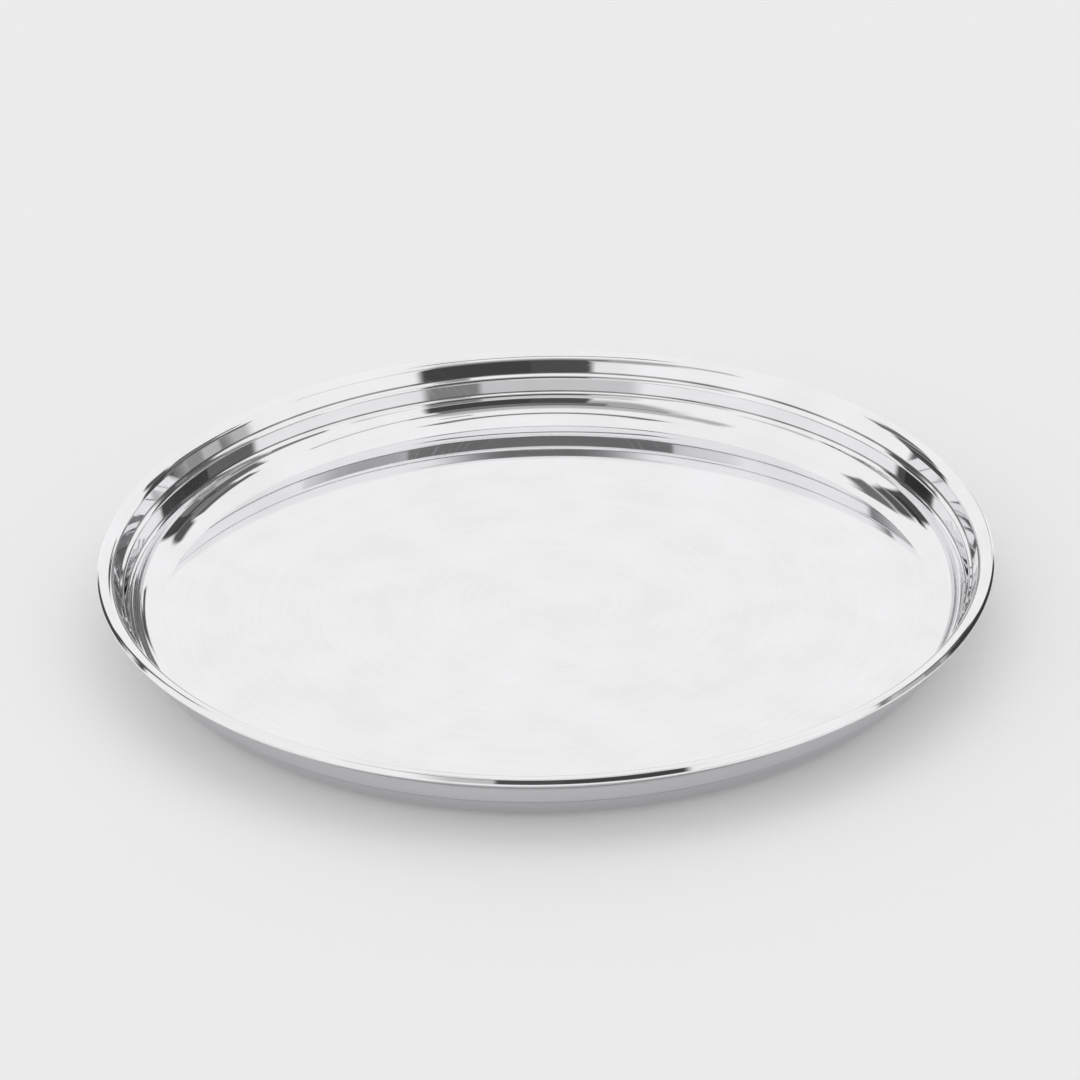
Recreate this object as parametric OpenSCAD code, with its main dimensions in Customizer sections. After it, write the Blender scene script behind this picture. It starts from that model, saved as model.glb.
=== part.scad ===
// Thali plate: a round dinner plate with a stepped wall, pressed from one sheet of
// stainless steel, with its edge rolled outwards and under. The plate stands on the
// plane z = 0 with the underside of its flat floor, and the Z axis is its centre line.
// Every size is in millimetres.

/* [Plate] */
// Diameter over the rolled rim
plate_d = 280; // [220:1:360]
// Height from the table to the top of the rim
plate_h = 21.2; // [18:0.2:40]
// Thickness of the sheet
sheet_t = 0.6; // [0.4:0.1:0.9]

/* [Floor] */
// Inside bend radius where the floor turns up into the wall
crease_r = 1.2; // [0.6:0.1:3]

/* [Lower wall] */
// Slope of the lower wall where it leaves the floor, in degrees
lower_wall_foot_slope = 21; // [10:1:35]
// Slope of the lower wall where it reaches the lower step, in degrees
lower_wall_top_slope = 71; // [65:1:85]
// Height above the floor at which those two slopes meet
lower_bowl_h = 2.5; // [1.2:0.1:4]
// Radius of the bowl curve between them
bowl_curve_r = 11; // [4:0.5:16]

/* [Lower step] */
// Width of the ledge at the lower step
lower_step_w = 0.8; // [0.6:0.1:5]
// Rise of the ledge over that width
lower_step_rise = 0.8; // [0.2:0.1:1.5]

/* [Upper wall] */
// Height of the upper wall between the two steps
upper_wall_h = 4.8; // [3:0.2:12]
// How far the upper wall flares out over that height
upper_wall_flare = 0.7; // [0.4:0.1:3]

/* [Upper step] */
// Width of the ledge at the upper step
upper_step_w = 1.2; // [0.6:0.1:5]
// Rise of the ledge over that width
upper_step_rise = 1.2; // [0.2:0.1:1.5]

/* [Step bends] */
// Bend radius of each step's rounded inner shoulder, at the middle of the sheet
step_shoulder_r = 1.9; // [0.6:0.1:3]
// Bend radius of the corner where a ledge meets the wall above it
step_corner_r = 0.5; // [0.4:0.1:1]

/* [Rim] */
// Height of the sloping band between the upper step and the crest
rim_slope_h = 5.6; // [3:0.2:10]
// Width of that band
rim_slope_w = 2.4; // [1.5:0.1:5]
// Width of the crest, from the top of the slope to the outer face
crest_w = 3.7; // [3:0.1:8]
// How steeply the crest still climbs towards the outer edge, in degrees
crest_slope = 4; // [1:1:20]
// Bend radius where the slope turns into the crest
crest_bend_r = 3.8; // [0.8:0.1:4]

/* [Rolled edge] */
// Bend radius of the three bends of the roll, at the middle of the sheet
roll_bend_r = 1.1; // [0.8:0.1:2]
// Height of the straight outer face between the first two bends
roll_face_h = 0.2; // [0.1:0.1:4]
// Width of the straight underside between the last two bends
roll_under_w = 0.3; // [0.2:0.1:3]
// Height of the straight cut edge that stands up inside the roll
roll_tuck_h = 0.4; // [0.2:0.1:0.6]

/* [Hidden] */

// Largest turn between two points of a bend, in degrees
bend_step = 7.5;
// Facets of the preview around the plate
round_facets = 240;

half_t = sheet_t / 2;

// Radii of the section's corners, at the middle of the sheet, from the rim inwards
edge_radius = plate_d / 2 - half_t;
crest_radius = edge_radius - crest_w;
upper_ledge_out = crest_radius - rim_slope_w;
upper_ledge_in = upper_ledge_out - upper_step_w;
lower_ledge_out = upper_ledge_in - upper_wall_flare;
lower_ledge_in = lower_ledge_out - lower_step_w;

// Heights of the same corners, at the middle of the sheet
floor_z = half_t;
// The corner at the outer edge lies above the top of the roll by what its bend takes off
top_z = plate_h - half_t;
edge_corner_z = top_z + roll_bend_r * (1 / cos(crest_slope) + tan(crest_slope) - 1);
crest_z = edge_corner_z - crest_w * tan(crest_slope);
upper_ledge_out_z = crest_z - rim_slope_h;
upper_ledge_in_z = upper_ledge_out_z - upper_step_rise;
lower_ledge_out_z = upper_ledge_in_z - upper_wall_h;
lower_ledge_in_z = lower_ledge_out_z - lower_step_rise;

// Below the lower step the wall runs down at its top slope to the bowl corner, and from
// there at its foot slope to the floor's edge, so a taller plate only gets a longer wall
bowl_z = floor_z + lower_bowl_h;
bowl_radius = lower_ledge_in - (lower_ledge_in_z - bowl_z) / tan(lower_wall_top_slope);
crease_radius = bowl_radius - lower_bowl_h / tan(lower_wall_foot_slope);

// The roll goes out over the edge, down its face, back underneath and up to the cut edge
first_bend_reach = roll_bend_r * tan(45 + crest_slope / 2);
roll_under_z = edge_corner_z - first_bend_reach - roll_face_h - roll_bend_r;
roll_back_radius = edge_radius - roll_bend_r - roll_under_w - roll_bend_r;
roll_end_z = roll_under_z + roll_bend_r + roll_tuck_h;

// Section of the sheet at its middle, from the axis to the cut edge inside the roll.
// Each corner is [radius from the axis, height, bend radius].
section = [
    [0, floor_z, 0],
    [crease_radius, floor_z, crease_r + half_t],
    [bowl_radius, bowl_z, bowl_curve_r],
    [lower_ledge_in, lower_ledge_in_z, step_shoulder_r],
    [lower_ledge_out, lower_ledge_out_z, step_corner_r],
    [upper_ledge_in, upper_ledge_in_z, step_shoulder_r],
    [upper_ledge_out, upper_ledge_out_z, step_corner_r],
    [crest_radius, crest_z, crest_bend_r],
    [edge_radius, edge_corner_z, roll_bend_r],
    [edge_radius, roll_under_z, roll_bend_r],
    [roll_back_radius, roll_under_z, roll_bend_r],
    [roll_back_radius, roll_end_z, 0],
];
last = len(section) - 1;

function place(i) = [section[i][0], section[i][1]];
function heading(i) = let (run = place(i + 1) - place(i)) run / norm(run);
function left_of(v) = [-v[1], v[0]];
function turned(v, a) = [v[0] * cos(a) - v[1] * sin(a), v[0] * sin(a) + v[1] * cos(a)];
function angle_between(u, v) = atan2(u[0] * v[1] - u[1] * v[0], u * v);
function turn(i) = i == 0 || i == last ? 0 : angle_between(heading(i - 1), heading(i));

// How much of the straight runs beside it the bend at corner i takes, and how much of
// that run i, from corner i to the next, has room for when two bends meet on it
function reach(i) = section[i][2] * tan(abs(turn(i)) / 2);
function room_share(i) = min(1, norm(place(i + 1) - place(i)) / (reach(i) + reach(i + 1)));
function bend_radius(i) = section[i][2] * min(room_share(i - 1), room_share(i));

// Points of the bend at corner i, each with the direction that faces the food side:
// the corner is rounded by an arc that touches both straight runs
function bend(i) =
    let (
        before = heading(i - 1),
        angle = turn(i),
        side = sign(angle),
        radius = bend_radius(i),
        start = place(i) - before * radius * tan(abs(angle) / 2),
        centre = start + left_of(before) * side * radius,
        steps = ceil(abs(angle) / bend_step)
    )
    [for (k = [0:steps]) let (face = turned(left_of(before), angle * k / steps))
        [centre - face * side * radius, face]];

middle_line = concat(
    [[place(0), left_of(heading(0))]],
    [for (i = [1:last - 1]) each bend(i)],
    [[place(last), left_of(heading(last - 1))]]
);
points = len(middle_line);

// The sheet's outline: half the thickness to the food side, then back along the underside
sheet_outline = concat(
    [for (p = middle_line) p[0] + p[1] * half_t],
    [for (k = [points - 1:-1:0]) middle_line[k][0] - middle_line[k][1] * half_t]
);

module plate() {
    color("silver")
    rotate_extrude($fn = round_facets)
    polygon(sheet_outline);
}

plate();
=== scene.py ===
# Thali plate: one round of stainless steel sheet, pressed with a stepped wall and a rolled
# rim, and mirror polished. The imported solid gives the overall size; the sheet's section is
# repeated here, smooth enough for a mirror finish.
import math

import bpy
import numpy as np
from mathutils import Matrix, Vector


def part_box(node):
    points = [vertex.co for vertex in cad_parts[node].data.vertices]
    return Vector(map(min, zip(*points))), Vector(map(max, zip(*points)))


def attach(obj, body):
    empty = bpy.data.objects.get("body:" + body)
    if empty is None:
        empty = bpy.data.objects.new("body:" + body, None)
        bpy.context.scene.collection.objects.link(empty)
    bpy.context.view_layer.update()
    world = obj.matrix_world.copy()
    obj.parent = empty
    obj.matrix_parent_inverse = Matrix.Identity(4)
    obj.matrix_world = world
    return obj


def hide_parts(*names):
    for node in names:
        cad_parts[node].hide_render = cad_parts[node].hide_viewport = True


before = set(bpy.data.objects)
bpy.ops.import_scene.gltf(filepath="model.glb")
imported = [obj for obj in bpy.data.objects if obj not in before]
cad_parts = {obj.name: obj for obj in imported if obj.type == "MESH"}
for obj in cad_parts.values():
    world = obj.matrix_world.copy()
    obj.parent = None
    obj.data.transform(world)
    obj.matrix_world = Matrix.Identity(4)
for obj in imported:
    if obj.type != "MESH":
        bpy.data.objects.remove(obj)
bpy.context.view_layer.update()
print("frame loaded:", sorted(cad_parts))

mm = 0.001
solidLow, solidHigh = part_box("plate")
solidRadius = (solidHigh.x - solidLow.x) / 2 / mm
solidHeight = (solidHigh.z - solidLow.z) / mm


def linearColour(hexText):  # sRGB hex, such as c8c6c2, to linear light
    channels = [int(hexText[i:i + 2], 16) / 255 for i in (0, 2, 4)]
    linear = [c / 12.92 if c <= 0.04045 else ((c + 0.055) / 1.055) ** 2.4 for c in channels]
    return (*linear, 1.0)


def addNode(tree, kind, inputs, output=0, **settings):
    # inputs go to the node's sockets, by name or number: a socket is linked, anything else is
    # set as the value. settings are the node's own properties. Gives the output that is asked
    # for, also by name or number
    node = tree.nodes.new(kind)
    for name, value in settings.items():
        setattr(node, name, value)
    for key, value in inputs.items():
        if isinstance(value, bpy.types.NodeSocket):
            tree.links.new(value, node.inputs[key])
        else:
            node.inputs[key].default_value = value
    return node.outputs[output]


# The sheet, in millimetres and degrees, as the plate was pressed
plateSizes = {
    "sheet": 0.6,
    "creaseRadius": 1.2,
    "footSlope": 21,            # of the lower wall, where it leaves the floor
    "topSlope": 71,             # of the lower wall, where it reaches the lower step
    "bowlHeight": 2.5,          # where these two slopes meet
    "bowlRadius": 11,
    "lowerStepWidth": 0.8,
    "lowerStepRise": 0.8,
    "upperWallHeight": 4.8,
    "upperWallFlare": 0.7,
    "upperStepWidth": 1.2,
    "upperStepRise": 1.2,
    "shoulderRadius": 1.9,      # of each step's rounded inner edge
    "cornerRadius": 0.5,        # where a ledge meets the wall above it
    "rimSlopeHeight": 5.6,
    "rimSlopeWidth": 2.4,
    "crestWidth": 3.7,
    "crestSlope": 4,
    "crestBendRadius": 3.8,
    "rollHeight": 1.9,          # from the crest's top to the roll's underside
    "rollWidth": 2.6,
    "rollLean": 29,             # of the outer face, which widens towards the underside
    "rollTopRadius": 0.7,
    "rollFootRadius": 0.45,
    "rollTuckRadius": 0.5,
    "rollTuckHeight": 0.9,
    "buffedFade": 2,            # outside, from the bright roll to the wall that is only buffed
    "bendStep": 4,              # degrees between two points of a bend
    "facets": 320,              # around the plate
}


def sectionCorners(size):
    # corners of the middle of the sheet, from the axis to the cut edge inside the roll, each
    # with its bend radius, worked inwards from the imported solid's edge and down from its top
    def slope(name):
        return math.tan(math.radians(size[name]))

    half = size["sheet"] / 2
    edge = solidRadius - half
    top = solidHeight - half
    # the two outer corners of the roll lie outside their bends, by what each bend takes off
    # above the top and past the edge
    climb, lean = math.radians(size["crestSlope"]), math.radians(size["rollLean"])
    topRadius, footRadius = size["rollTopRadius"], size["rollFootRadius"]
    topReach = math.tan((math.pi / 2 + climb - lean) / 2)
    rollTop = top + topRadius * (topReach * math.sin(climb) + math.cos(climb) - 1)
    rollFoot = edge + footRadius * (math.tan(math.pi / 4 + lean / 2) - 1)
    under = top - size["rollHeight"]
    rollOut = rollFoot - (rollTop - under) * math.tan(lean)
    rollBack = rollFoot - size["rollWidth"]
    crest = edge - size["crestWidth"]
    crestTop = rollTop - (rollOut - crest) * slope("crestSlope")
    upperOut = crest - size["rimSlopeWidth"]
    upperOutTop = crestTop - size["rimSlopeHeight"]
    upperIn = upperOut - size["upperStepWidth"]
    upperInTop = upperOutTop - size["upperStepRise"]
    lowerOut = upperIn - size["upperWallFlare"]
    lowerOutTop = upperInTop - size["upperWallHeight"]
    lowerIn = lowerOut - size["lowerStepWidth"]
    lowerInTop = lowerOutTop - size["lowerStepRise"]
    bowlTop = half + size["bowlHeight"]
    bowl = lowerIn - (lowerInTop - bowlTop) / slope("topSlope")
    crease = bowl - size["bowlHeight"] / slope("footSlope")
    shoulder, corner = size["shoulderRadius"], size["cornerRadius"]
    return np.array([
        (0, half, 0),
        (crease, half, size["creaseRadius"] + half),
        (bowl, bowlTop, size["bowlRadius"]),
        (lowerIn, lowerInTop, shoulder),
        (lowerOut, lowerOutTop, corner),
        (upperIn, upperInTop, shoulder),
        (upperOut, upperOutTop, corner),
        (crest, crestTop, size["crestBendRadius"]),
        (rollOut, rollTop, topRadius),
        (rollFoot, under, footRadius),
        (rollBack, under, size["rollTuckRadius"]),
        (rollBack, under + size["rollTuckHeight"], 0),
    ])


def roundedLine(corners, bendStep):
    # straight runs joined by arcs: at a corner of turn t and bend radius r the arc starts
    # r tan(t / 2) before the corner, and its centre lies r to the side it turns to. Bends
    # that would meet on a run share it. Gives the points and, at each, the unit direction
    # that faces the food side
    places = corners[:, :2]
    runs = np.diff(places, axis=0)
    lengths = np.linalg.norm(runs, axis=1)
    runs /= lengths[:, None]
    faces = np.stack([-runs[:, 1], runs[:, 0]], axis=1)
    before, after = runs[:-1], runs[1:]
    sideways = before[:, 0] * after[:, 1] - before[:, 1] * after[:, 0]
    turns = np.arctan2(sideways, (before * after).sum(axis=1))
    reaches = np.concatenate([[0], corners[1:-1, 2] * np.tan(np.abs(turns) / 2), [0]])
    shares = np.minimum(1, lengths / (reaches[:-1] + reaches[1:]))
    radii = corners[1:-1, 2] * np.minimum(shares[:-1], shares[1:])
    points, facing = [places[:1]], [faces[:1]]
    for place, radius, turn, run, face in zip(places[1:-1], radii, turns, before, faces):
        side = math.copysign(1, turn)
        centre = place - run * radius * math.tan(abs(turn) / 2) + face * side * radius
        steps = math.ceil(abs(math.degrees(turn)) / bendStep)
        angles = np.linspace(0, turn, steps + 1)[:, None]
        turned = face * np.cos(angles) + np.array([-face[1], face[0]]) * np.sin(angles)
        points.append(centre - turned * side * radius)
        facing.append(turned)
    return np.concatenate([*points, places[-1:]]), np.concatenate([*facing, faces[-1:]])


def revolve(name, line, facing, facets):
    # each point (r, z) of the line goes round the Z axis at angle a: (r cos a, r sin a, z),
    # and its facing direction (u, v) turns with it: (u cos a, u sin a, v).
    # Both ends of the line lie on the axis, and become one point each
    angles = np.linspace(0, 2 * math.pi, facets, endpoint=False)
    cosines, sines = np.cos(angles)[None, :], np.sin(angles)[None, :]

    def around(pairs):  # a ring for each pair between the two ends, and then the ends
        out, up = pairs[1:-1, :1], pairs[1:-1, 1:]
        rings = np.stack([out * cosines, out * sines, up + 0 * cosines], axis=2)
        return np.concatenate([rings.reshape(-1, 3), [(0, 0, pairs[0, 1]), (0, 0, pairs[-1, 1])]])

    count = len(line) - 2
    here = np.arange(facets)
    after = np.roll(here, -1)
    ring = np.arange(count - 1)[:, None] * facets
    quads = np.stack([ring + here, ring + facets + here, ring + facets + after, ring + after],
                     axis=2)
    firstPole, lastPole = count * facets, count * facets + 1
    lastRing = (count - 1) * facets
    firstFan = np.stack([np.full(facets, firstPole), here, after], axis=1)
    lastFan = np.stack([np.full(facets, lastPole), lastRing + after, lastRing + here], axis=1)
    faces = quads.reshape(-1, 4).tolist() + firstFan.tolist() + lastFan.tolist()
    mesh = bpy.data.meshes.new(name)
    mesh.from_pydata(around(line).tolist(), [], faces)
    mesh.polygons.foreach_set("use_smooth", np.ones(len(mesh.polygons), bool))
    mesh.update()
    mesh.normals_split_custom_set_from_vertices(around(facing).tolist())
    piece = bpy.data.objects.new(name, mesh)
    bpy.context.scene.collection.objects.link(piece)
    return piece


def buildPlate(size):
    corners = sectionCorners(size)
    middle, facing = roundedLine(corners, size["bendStep"])
    half = size["sheet"] / 2
    food, under = middle + facing * half, (middle - facing * half)[::-1]
    line = np.concatenate([food, under]) * mm
    facingBoth = np.concatenate([facing, -facing[::-1]])
    plate = revolve("pressed_plate", line, facingBoth, size["facets"])
    # how far each point lies along the sheet, in metres, for the rings that spinning leaves
    steps = np.linalg.norm(np.diff(middle, axis=0), axis=1)
    travel = np.concatenate([[0], np.cumsum(steps)]) * mm
    # the underside and the outside of the wall are only buffed, up to the roll
    rollStart = solidRadius - size["crestWidth"]
    buffed = np.clip((rollStart - under[:, 0]) / size["buffedFade"], 0, 1)
    lineValues = {
        "alongSheet": np.concatenate([travel, -travel[::-1]]),
        "buffed": np.concatenate([np.zeros(len(food)), buffed]),
    }
    for name, values in lineValues.items():  # each value goes to its point's whole ring
        rings = np.repeat(values[1:-1], size["facets"])
        given = np.concatenate([rings, values[:1], values[-1:]]).astype(np.float32)
        plate.data.attributes.new(name, "FLOAT", "POINT").data.foreach_set("value", given)
    # how far along the sheet its two inner corners lie, where a ledge meets the wall above:
    # they are the section's corners 4 and 6, counted from the axis as 0
    innerCorners = []
    for corner in corners[[4, 6], :2]:
        innerCorners.append(travel[np.argmin(np.linalg.norm(middle - corner, axis=1))])
    return plate, innerCorners


thali, innerCorners = buildPlate(plateSizes)
print("plate:", len(thali.data.polygons), "faces")


# Mirror-polished stainless steel: the food side and the rim are buffed bright on a lathe, so
# they reflect the room sharply, with faint rings where the tool and the mop went round.
# Sizes are in millimetres, and a range is of a noise, from where it does nothing to where it
# does all it can
steelFinish = {
    "colour": "f5f5f7",
    "dullColour": "eeedee",       # where the buffing left it a little greyer
    "dullRange": (0.35, 0.7),
    "dullRings": 0.3,             # the rings' share in that, the smears have the rest
    "roughness": 0.03,
    "smearSize": 22,              # patches that handling and wiping leave
    "smearRange": (0.45, 0.75),
    "smearRoughness": 0.03,
    "buffedColour": "d4d4d6",     # of the outside, which is only buffed
    "buffedRoughness": 0.12,
    "middleFade": 8,              # around the axis, where rings and streaks run out
    "ringSpacing": 1.4,           # real tool marks are finer, drawn coarser to show
    "ringTurns": 2.0,             # how much a ring changes on its way around
    "ringHeight": 0.0002,
    "waveLength": 38,             # slow waves that pressing leaves in the sheet
    "waveHeight": 0.008,
    "streakSpacing": 1.6,         # buffing streaks up the outside, around the edge
    "streakRadius": 140,          # where they are that far apart
    "streakHeight": 0.004,
    "scratchLength": 16,
    "scratchWidth": 0.35,         # real hairlines are far finer, drawn as wide as shows
    "scratchReach": 9,            # up a wall
    "scratchCuts": (0.5, 2.1),    # turns of one noise, in radians, that give two sets
    "scratchRange": (0.70, 0.80),
    "scratchRoughness": 0.04,
    "cornerColour": "6c6a69",     # painted shade: a dark line along the inner corners, for the shade and dark reflections there
    "cornerHalfWidth": 0.55,      # of the painted shade line there
    "cornerCore": 0.3,            # how much of that is at full strength
    "cornerStrength": (0.3, 1.1),  # everywhere, and what the smears add
    "cornerRoughness": 0.2,
}


def polishedSteel(finish, corners):
    material = bpy.data.materials.new("mirrorPolishedStainlessSteel")
    material.use_nodes = True
    tree = material.node_tree
    shader = tree.nodes["Principled BSDF"]
    place = addNode(tree, "ShaderNodeTexCoord", {}, "Object")
    along = addNode(tree, "ShaderNodeAttribute", {}, "Fac", attribute_name="alongSheet")
    buffed = addNode(tree, "ShaderNodeAttribute", {}, "Fac", attribute_name="buffed")

    # direction from the axis, which fades to nothing at the middle of the plate
    flat = addNode(tree, "ShaderNodeVectorMath", {0: place, 1: (1, 1, 0)}, operation="MULTIPLY")
    radius = addNode(tree, "ShaderNodeVectorMath", {0: flat}, "Value", operation="LENGTH")
    kept = addNode(tree, "ShaderNodeMath", {0: radius, 1: finish["middleFade"] * mm},
                   operation="ADD")
    fade = addNode(tree, "ShaderNodeMath", {0: 1.0, 1: kept}, operation="DIVIDE")
    outwards = addNode(tree, "ShaderNodeVectorMath", {0: flat, "Scale": fade}, operation="SCALE")
    aside = addNode(tree, "ShaderNodeSeparateXYZ", {0: outwards}).node.outputs

    # rings: noise that changes quickly along the sheet and slowly around the plate
    ringPlace = addNode(tree, "ShaderNodeCombineXYZ", {0: along, 1: aside[0], 2: aside[1]})
    ringScale = (1 / (finish["ringSpacing"] * mm), finish["ringTurns"], finish["ringTurns"])
    ringPlace = addNode(tree, "ShaderNodeVectorMath", {0: ringPlace, 1: ringScale},
                        operation="MULTIPLY")
    rings = addNode(tree, "ShaderNodeTexNoise", {"Vector": ringPlace, "Scale": 1.0, "Detail": 3.0})
    waves = addNode(tree, "ShaderNodeTexNoise", {
        "Vector": place, "Scale": 1 / (finish["waveLength"] * mm), "Detail": 1.0})
    streaks = addNode(tree, "ShaderNodeTexNoise", {
        "Vector": outwards, "Scale": finish["streakRadius"] / finish["streakSpacing"],
        "Detail": 3.0})
    smears = addNode(tree, "ShaderNodeTexNoise", {
        "Vector": place, "Scale": 1 / (finish["smearSize"] * mm), "Detail": 4.0})
    low, high = finish["smearRange"]
    smeared = addNode(tree, "ShaderNodeMapRange", {
        "Value": smears, "From Min": low, "From Max": high}, interpolation_type="SMOOTHSTEP")

    # hairlines: the thin ridges of two noises drawn out along X
    scratched = 0.0
    low, high = finish["scratchRange"]
    for turn in finish["scratchCuts"]:
        turned = addNode(tree, "ShaderNodeMapping", {
            "Vector": place, "Rotation": (0, 0, turn),
            "Scale": [1 / (finish[name] * mm)
                      for name in ("scratchLength", "scratchWidth", "scratchReach")]})
        line = addNode(tree, "ShaderNodeTexNoise", {
            "Vector": turned, "Scale": 1.0, "Detail": 0.0})
        line = addNode(tree, "ShaderNodeMapRange", {
            "Value": line, "From Min": low, "From Max": high}, interpolation_type="SMOOTHSTEP")
        scratched = addNode(tree, "ShaderNodeMath", {0: scratched, 1: line}, operation="MAXIMUM")

    # painted shade: a dark, rougher line along each inner corner, fainter and stronger by turns
    # around the plate
    cornerShadeAndDull = 0.0
    for corner in corners:
        off = addNode(tree, "ShaderNodeMath", {0: along, 1: corner}, operation="SUBTRACT")
        off = addNode(tree, "ShaderNodeMath", {0: off}, operation="ABSOLUTE")
        line = addNode(tree, "ShaderNodeMapRange", {
            "Value": off, "From Min": finish["cornerCore"] * finish["cornerHalfWidth"] * mm,
            "From Max": finish["cornerHalfWidth"] * mm, "To Min": 1.0, "To Max": 0.0,
        }, interpolation_type="SMOOTHSTEP")
        cornerShadeAndDull = addNode(tree, "ShaderNodeMath", {0: cornerShadeAndDull, 1: line}, operation="MAXIMUM")
    least, added = finish["cornerStrength"]
    strength = addNode(tree, "ShaderNodeMath", {0: smears, 1: added, 2: least},
                       operation="MULTIPLY_ADD")
    cornerShadeAndDull = addNode(tree, "ShaderNodeMath", {0: cornerShadeAndDull, 1: strength}, operation="MULTIPLY")

    rough = finish["roughness"]
    for amount, name in ((scratched, "scratchRoughness"), (smeared, "smearRoughness"),
                         (buffed, "buffedRoughness"), (cornerShadeAndDull, "cornerRoughness")):
        rough = addNode(tree, "ShaderNodeMath", {0: amount, 1: finish[name], 2: rough},
                        operation="MULTIPLY_ADD")

    ringShare = finish["dullRings"]
    dull = addNode(tree, "ShaderNodeMath", {0: smears, 1: 1 - ringShare}, operation="MULTIPLY")
    dull = addNode(tree, "ShaderNodeMath", {0: rings, 1: ringShare, 2: dull},
                   operation="MULTIPLY_ADD")
    low, high = finish["dullRange"]
    dull = addNode(tree, "ShaderNodeMapRange", {"Value": dull, "From Min": low, "From Max": high})
    colour = linearColour(finish["colour"])
    # the last mix darkens the inner corners: painted shade
    for amount, name in ((dull, "dullColour"), (buffed, "buffedColour"),
                         (cornerShadeAndDull, "cornerColour")):
        colour = addNode(tree, "ShaderNodeMix", {
            0: amount, 6: colour, 7: linearColour(finish[name])}, 2, data_type="RGBA")

    # heights in metres: slow waves, rings, and streaks on the buffed outside
    outside = addNode(tree, "ShaderNodeMath", {0: streaks, 1: buffed}, operation="MULTIPLY")
    height = 0.0
    for amount, name in ((waves, "waveHeight"), (rings, "ringHeight"), (outside, "streakHeight")):
        height = addNode(tree, "ShaderNodeMath", {0: amount, 1: finish[name] * mm, 2: height},
                         operation="MULTIPLY_ADD")
    bump = addNode(tree, "ShaderNodeBump", {"Height": height, "Strength": 1.0, "Distance": 1.0})

    for name, value in (("Base Color", colour), ("Roughness", rough), ("Normal", bump)):
        tree.links.new(value, shader.inputs[name])
    shader.inputs["Metallic"].default_value = 1.0
    return material


thali.data.materials.append(polishedSteel(steelFinish, innerCorners))
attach(thali, "root")
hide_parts("plate")
print("steel ready")


# The pale floor it stands on, matt paper that keeps the plate's shadow, near white to the
# camera and in the steel. The camera sees it everywhere. The steel sees it only out to the
# paper's radius, and past that what the studio has below the height of the table
floorSizes = {
    "reach": 3000,
    "paperRadius": 160,
    "colour": "f2f2f2",
    "roughness": 0.9,
    "specular": 0.1,
    "glow": 0.14,
}


def buildFloor(size):
    reach = size["reach"] * mm
    corners = [(-reach, -reach, 0), (reach, -reach, 0), (reach, reach, 0), (-reach, reach, 0)]
    mesh = bpy.data.meshes.new("floor")
    mesh.from_pydata(corners, [], [(0, 1, 2, 3)])
    floor = bpy.data.objects.new("floor", mesh)
    bpy.context.scene.collection.objects.link(floor)
    material = bpy.data.materials.new("paleMattPaper")
    material.use_nodes = True
    tree = material.node_tree
    shader = tree.nodes["Principled BSDF"]
    shader.inputs["Base Color"].default_value = linearColour(size["colour"])
    shader.inputs["Roughness"].default_value = size["roughness"]
    shader.inputs["Specular IOR Level"].default_value = size["specular"]
    shader.inputs["Emission Color"].default_value = (1, 1, 1, 1)
    rays = addNode(tree, "ShaderNodeLightPath", {}).node.outputs
    seen = rays["Is Camera Ray"]
    shown = seen
    for kind in ("Is Glossy Ray", "Is Transmission Ray"):
        shown = addNode(tree, "ShaderNodeMath", {0: shown, 1: rays[kind]}, operation="MAXIMUM")
    glow = addNode(tree, "ShaderNodeMath", {0: shown, 1: size["glow"]}, operation="MULTIPLY")
    tree.links.new(glow, shader.inputs["Emission Strength"])
    place = addNode(tree, "ShaderNodeTexCoord", {}, "Object")
    away = addNode(tree, "ShaderNodeVectorMath", {0: place}, "Value", operation="LENGTH")
    beyond = addNode(tree, "ShaderNodeMath", {0: away, 1: size["paperRadius"] * mm},
                     operation="GREATER_THAN")
    gone = addNode(tree, "ShaderNodeMath", {0: beyond, 1: seen}, operation="SUBTRACT",
                   use_clamp=True)
    clear = addNode(tree, "ShaderNodeBsdfTransparent", {})
    surface = addNode(tree, "ShaderNodeMixShader", {0: gone, 1: shader.outputs[0], 2: clear})
    tree.links.new(surface, tree.nodes["Material Output"].inputs["Surface"])
    mesh.materials.append(material)
    return floor


buildFloor(floorSizes)

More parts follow.
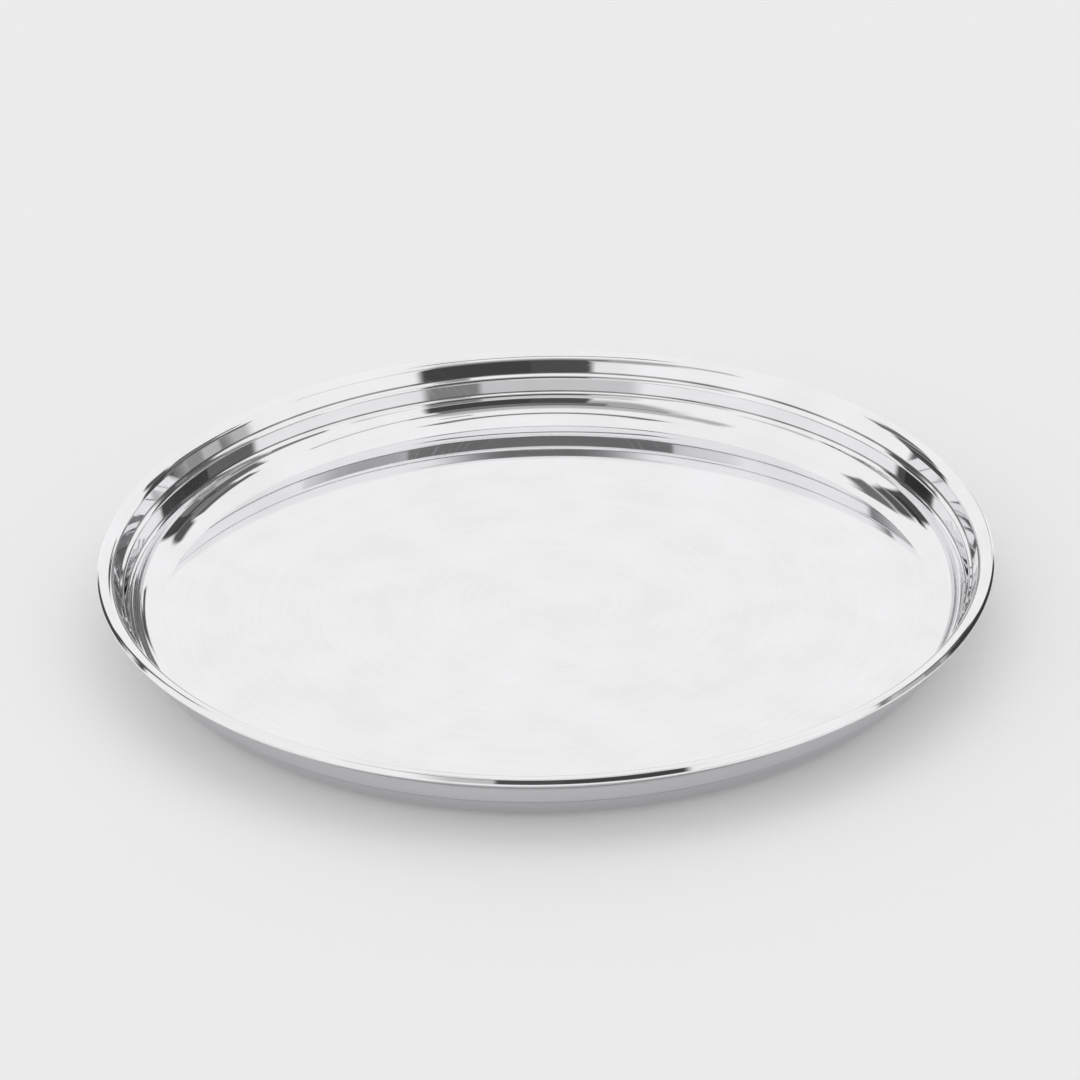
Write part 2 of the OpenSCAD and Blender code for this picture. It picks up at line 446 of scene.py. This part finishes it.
# The studio is white all round. Polished steel shows only what it reflects, so there are
# dark gaps between the white screens, and dark things below the height of the table. Each
# gap is its middle, azimuth from +X towards +Y and height above the table, its half width
# and half height, its softness, all in degrees, its light, and its lean: how many degrees
# its middle moves along for each degree of height
studio = {
    "white": 0.95,
    "mostSoftness": 1.6,    # above and below a gap, for each degree of its half height
    "gaps": [
        (288, 26, 16, 9.5, 3, 0.06, 0.10),
        (271, 26.5, 15, 9.5, 3, 0.08, 0),
        (276, 38.5, 27, 6, 4, 0.19, 0),
        (252, 34, 20, 11, 14, 0.42, -0.9),
        (271, 43.5, 43, 1.5, 3, 0.16, 0),
        (256, 49, 52, 6, 8, 0.50, -0.4),
        (326, 42.3, 24, 1.2, 2, 0.42, 0),
        (268, 74, 80, 2.5, 4, 0.17, 0),
        (306, 61.5, 7, 1.2, 2, 0.3, 0),
        (272, 9, 28, 7, 6, 0.64, 0),
        (294, 12, 8, 4, 4, 0.24, 0),
        (300, 4, 23, 4.5, 6, 0.32, 0),
        (150, 12, 8.5, 12, 3, 0.08, 0),
        (147, 18.5, 8.5, 3, 3, 0.035, 0),
        (146, 30, 10, 6, 5, 0.10, -0.6),
        (139, 41.5, 14, 5, 4, 0.17, -0.9),
        (136, -7, 6.5, 9, 4, 0.07, 1.3),
        (7, 17, 12, 6.5, 3, 0.14, 0),
        (3, 6.5, 9, 4.5, 4, 0.5, 0),
        (14, 6, 4, 4.5, 3, 0.3, 0),
        (25, 15, 8, 12, 4, 0.19, 0),
        (25, 17.5, 12, 2, 2, 0.05, 0),
        (32, 13, 6, 11, 3, 0.07, 0),
        (41, 29, 7, 6, 4, 0.10, 1.2),
        (20, 32, 15, 3, 2, 0.12, 0),
        (25, 26, 15, 5, 4, 0.22, 0),
        (32, -9, 16, 13, 6, 0.17, -0.8),
        (41, -6, 8, 10, 4, 0.045, -1.6),
        (67, 9, 4, 5, 3, 0.10, 1.0),
        (63, 12, 6, 2, 2, 0.10, 0),
        (348, 5.5, 17, 3, 3, 0.22, 0),
        (203, 4.5, 12, 3, 4, 0.6, 0),
    ],
}


def buildStudio(size):
    world = bpy.data.worlds.new("studio")
    bpy.context.scene.world = world
    world.use_nodes = True
    tree = world.node_tree
    backdrop = tree.nodes["Background"]
    direction = addNode(tree, "ShaderNodeTexCoord", {}, "Generated")
    parts = addNode(tree, "ShaderNodeSeparateXYZ", {0: direction}).node.outputs
    azimuth = addNode(tree, "ShaderNodeMath", {0: parts[1], 1: parts[0]}, operation="ARCTAN2")
    rise = addNode(tree, "ShaderNodeMath", {0: parts[2]}, operation="ARCSINE")
    light = size["white"]
    for middle, height, halfWidth, halfHeight, softness, level, lean in size["gaps"]:
        aside = addNode(tree, "ShaderNodeMath", {0: azimuth, 1: math.radians(middle)},
                        operation="SUBTRACT")
        aside = addNode(tree, "ShaderNodeMath", {0: aside, 1: math.pi, 2: -math.pi},
                        operation="WRAP")
        above = addNode(tree, "ShaderNodeMath", {0: rise, 1: math.radians(height)},
                        operation="SUBTRACT")
        if lean:
            aside = addNode(tree, "ShaderNodeMath", {0: above, 1: -lean, 2: aside},
                            operation="MULTIPLY_ADD")
        softnessUp = min(softness, size["mostSoftness"] * halfHeight)
        within = 1.0
        for offset, half, soft in ((aside, halfWidth, softness), (above, halfHeight, softnessUp)):
            offset = addNode(tree, "ShaderNodeMath", {0: offset}, operation="ABSOLUTE")
            edge = addNode(tree, "ShaderNodeMapRange", {
                "Value": offset, "From Min": math.radians(half - soft / 2),
                "From Max": math.radians(half + soft / 2), "To Min": 1.0, "To Max": 0.0,
            }, interpolation_type="SMOOTHSTEP")
            within = addNode(tree, "ShaderNodeMath", {0: within, 1: edge}, operation="MULTIPLY")
        shade = addNode(tree, "ShaderNodeMapRange", {
            "Value": within, "To Min": size["white"], "To Max": level})
        light = addNode(tree, "ShaderNodeMath", {0: light, 1: shade}, operation="MINIMUM")
    seen = addNode(tree, "ShaderNodeLightPath", {}, "Is Camera Ray")
    strength = addNode(tree, "ShaderNodeMath", {0: light, 1: seen}, operation="MAXIMUM")
    tree.links.new(strength, backdrop.inputs["Strength"])
    backdrop.inputs["Color"].default_value = (1, 1, 1, 1)


buildStudio(studio)

# The photograph's view, fitted to the rim and the floor's edge
view = {
    "distance": 1330.0,      # from the middle of the plate's floor, in millimetres
    "elevation": 29.38,
    "lensPixels": 4216.2,    # focal length in pixels of a 1080 pixel frame
    "framePixels": 1080,
    "middlePixel": (546.55, 601.81),
    "roll": 1.29,
}


def buildCamera(size):
    # the camera turns so that the middle of the plate's floor falls on its pixel, and is
    # then rolled about the line to it
    elevation = math.radians(size["elevation"])
    away = Vector((0, -math.cos(elevation), math.sin(elevation)))
    place = away * size["distance"] * mm + Vector((0, 0, plateSizes["sheet"] * mm))
    right = Vector((1, 0, 0))
    half = size["framePixels"] / 2
    x = (size["middlePixel"][0] - half) / size["lensPixels"]
    y = (half - size["middlePixel"][1]) / size["lensPixels"]
    swing = Vector((x, y, -1)).rotation_difference(Vector((0, 0, -1))).to_matrix()
    axes = Matrix((right, away.cross(right), away)).transposed() @ swing
    axes = Matrix.Rotation(math.radians(-size["roll"]), 3, away) @ axes
    data = bpy.data.cameras.new("camera")
    data.sensor_width = 36.0
    data.lens = data.sensor_width * size["lensPixels"] / size["framePixels"]
    camera = bpy.data.objects.new("camera", data)
    camera.matrix_world = Matrix.Translation(place) @ axes.to_4x4()
    bpy.context.scene.collection.objects.link(camera)
    return camera


bpy.context.scene.camera = buildCamera(view)
bpy.context.scene.view_settings.view_transform = "Standard"
print("studio ready")
